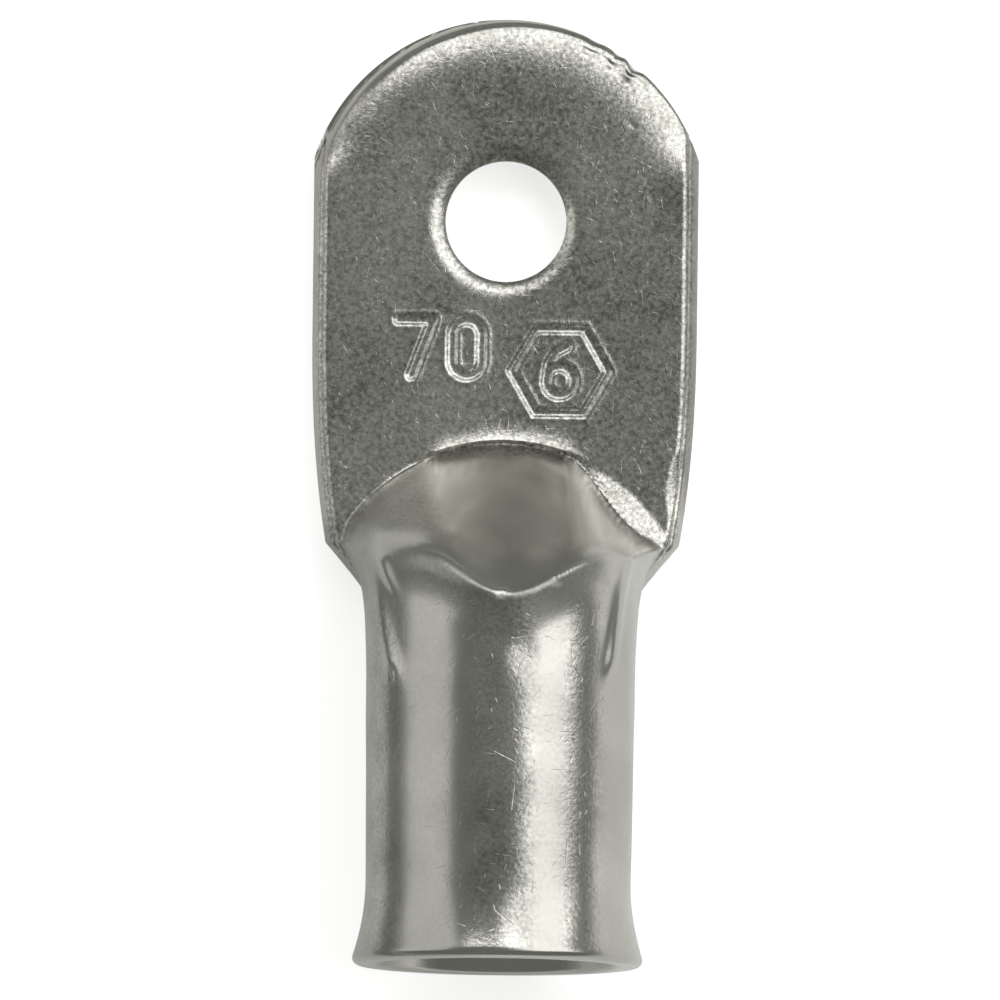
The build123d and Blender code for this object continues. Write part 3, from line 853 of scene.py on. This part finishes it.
def addSheet(name, outline, faces, over, material):  # flat faces on the tilted floor's plane, or over it
    rise = math.tan(math.radians(studio["floorTilt"]))
    level = studio["floorLevel"] + over
    mesh = bpy.data.meshes.new(name)
    mesh.from_pydata([(x, y, level + (y - studio["floorPivot"]) * rise) for x, y in outline], [], faces)
    mesh.materials.append(material)
    sheet = bpy.data.objects.new(name, mesh)
    bpy.context.scene.collection.objects.link(sheet)
    return sheet


def matt(shader, colour, **sockets):  # a dull surface, with anything else that its sockets take
    return shader.finish(shader.node("ShaderNodeBsdfPrincipled", sockets={
        "Base Color": colour, "Roughness": 0.9, "Specular IOR Level": 0.1, **sockets}))


def paleFloor():
    # The camera sees the floor lifted to white. Metal and glass see a painted glow on it, brighter at the right,
    # which stands in for the floor's left lying in shade.
    shader = Shader(bpy.data.materials.new("paleFloor"))
    across = shader.part(shader.node("ShaderNodeTexCoord", output="Object"), "X")
    gloss = shader.fade(across, *studio["glossFade"], *studio["gloss"])
    camera, glossy, clear = [shader.node("ShaderNodeLightPath", output=f"Is {ray} Ray")
                             for ray in ("Camera", "Glossy", "Transmission")]
    lift = camera * studio["floorLift"] + glossy.math("MAXIMUM", clear) * gloss
    glow = shader.mix(lift, (0, 0, 0, 1), (1, 1, 1, 1))
    return matt(shader, studio["floorColour"], **{"Emission Color": glow, "Emission Strength": 1.0})


def surround():  # the world: a ramp of greys by height, and the backdrop's white where the camera looks
    shader = Shader(bpy.data.worlds.new("studio"))
    height = shader.part(shader.node("ShaderNodeTexCoord", output="Generated"), "Z")
    greys = zip(studio["surroundFade"], (studio["surroundLow"], studio["surroundHigh"]))
    around = shader.node("ShaderNodeValToRGB", {"stops": list(greys)}, {0: height})
    seen = shader.node("ShaderNodeLightPath", output="Is Camera Ray")
    light = shader.node("ShaderNodeBackground", sockets={"Color": shader.mix(seen, around, studio["backdrop"])})
    return shader.finish(light, "ShaderNodeOutputWorld")


for name, (place, size, power) in studio["lights"].items():
    addLight(name, place, size, power)

reach = studio["floorReach"]
floor = addSheet("floor", [(-reach, -reach), (reach, -reach), (reach, reach), (-reach, reach)], [(0, 1, 2, 3)],
                 0.0, paleFloor())

# Painted shade: a dark sheet on the floor that only reflections in the metal see
cardFinish = matt(Shader(bpy.data.materials.new("paintedShadeCard")), studio["cardColour"])
shadeCard = addSheet("shadeCard", studio["shadeCard"], studio["cardFaces"], studio["cardOver"], cardFinish)
shadeCard.visible_camera = shadeCard.visible_diffuse = shadeCard.visible_shadow = False

bpy.context.scene.world = surround()

# The camera looks straight down through a long lens, turned a little so that the lug leans. The
# picture's size and the hole's place in it are in pixels.
view = {"distance": 1.5, "picture": 1000, "pixelsPerMm": 17.25, "holePixel": (506.0, 222.0), "lean": 0.68}
cameraData = bpy.data.cameras.new("camera")
cameraData.sensor_width = 36.0
cameraData.lens = cameraData.sensor_width * view["distance"] / (view["picture"] / view["pixelsPerMm"] * mm)
cameraData.clip_end = 20
camera = bpy.data.objects.new("camera", cameraData)
lean = math.radians(view["lean"])
offX = (view["picture"] / 2 - view["holePixel"][0]) / view["pixelsPerMm"] * mm
offY = (view["holePixel"][1] - view["picture"] / 2) / view["pixelsPerMm"] * mm
camera.location = (offX * math.cos(lean) - offY * math.sin(lean),
                   offX * math.sin(lean) + offY * math.cos(lean), view["distance"])
camera.rotation_euler = (0, 0, lean)
bpy.context.scene.collection.objects.link(camera)
bpy.context.scene.camera = camera
bpy.context.scene.view_settings.view_transform = "Standard"
print("studio made")
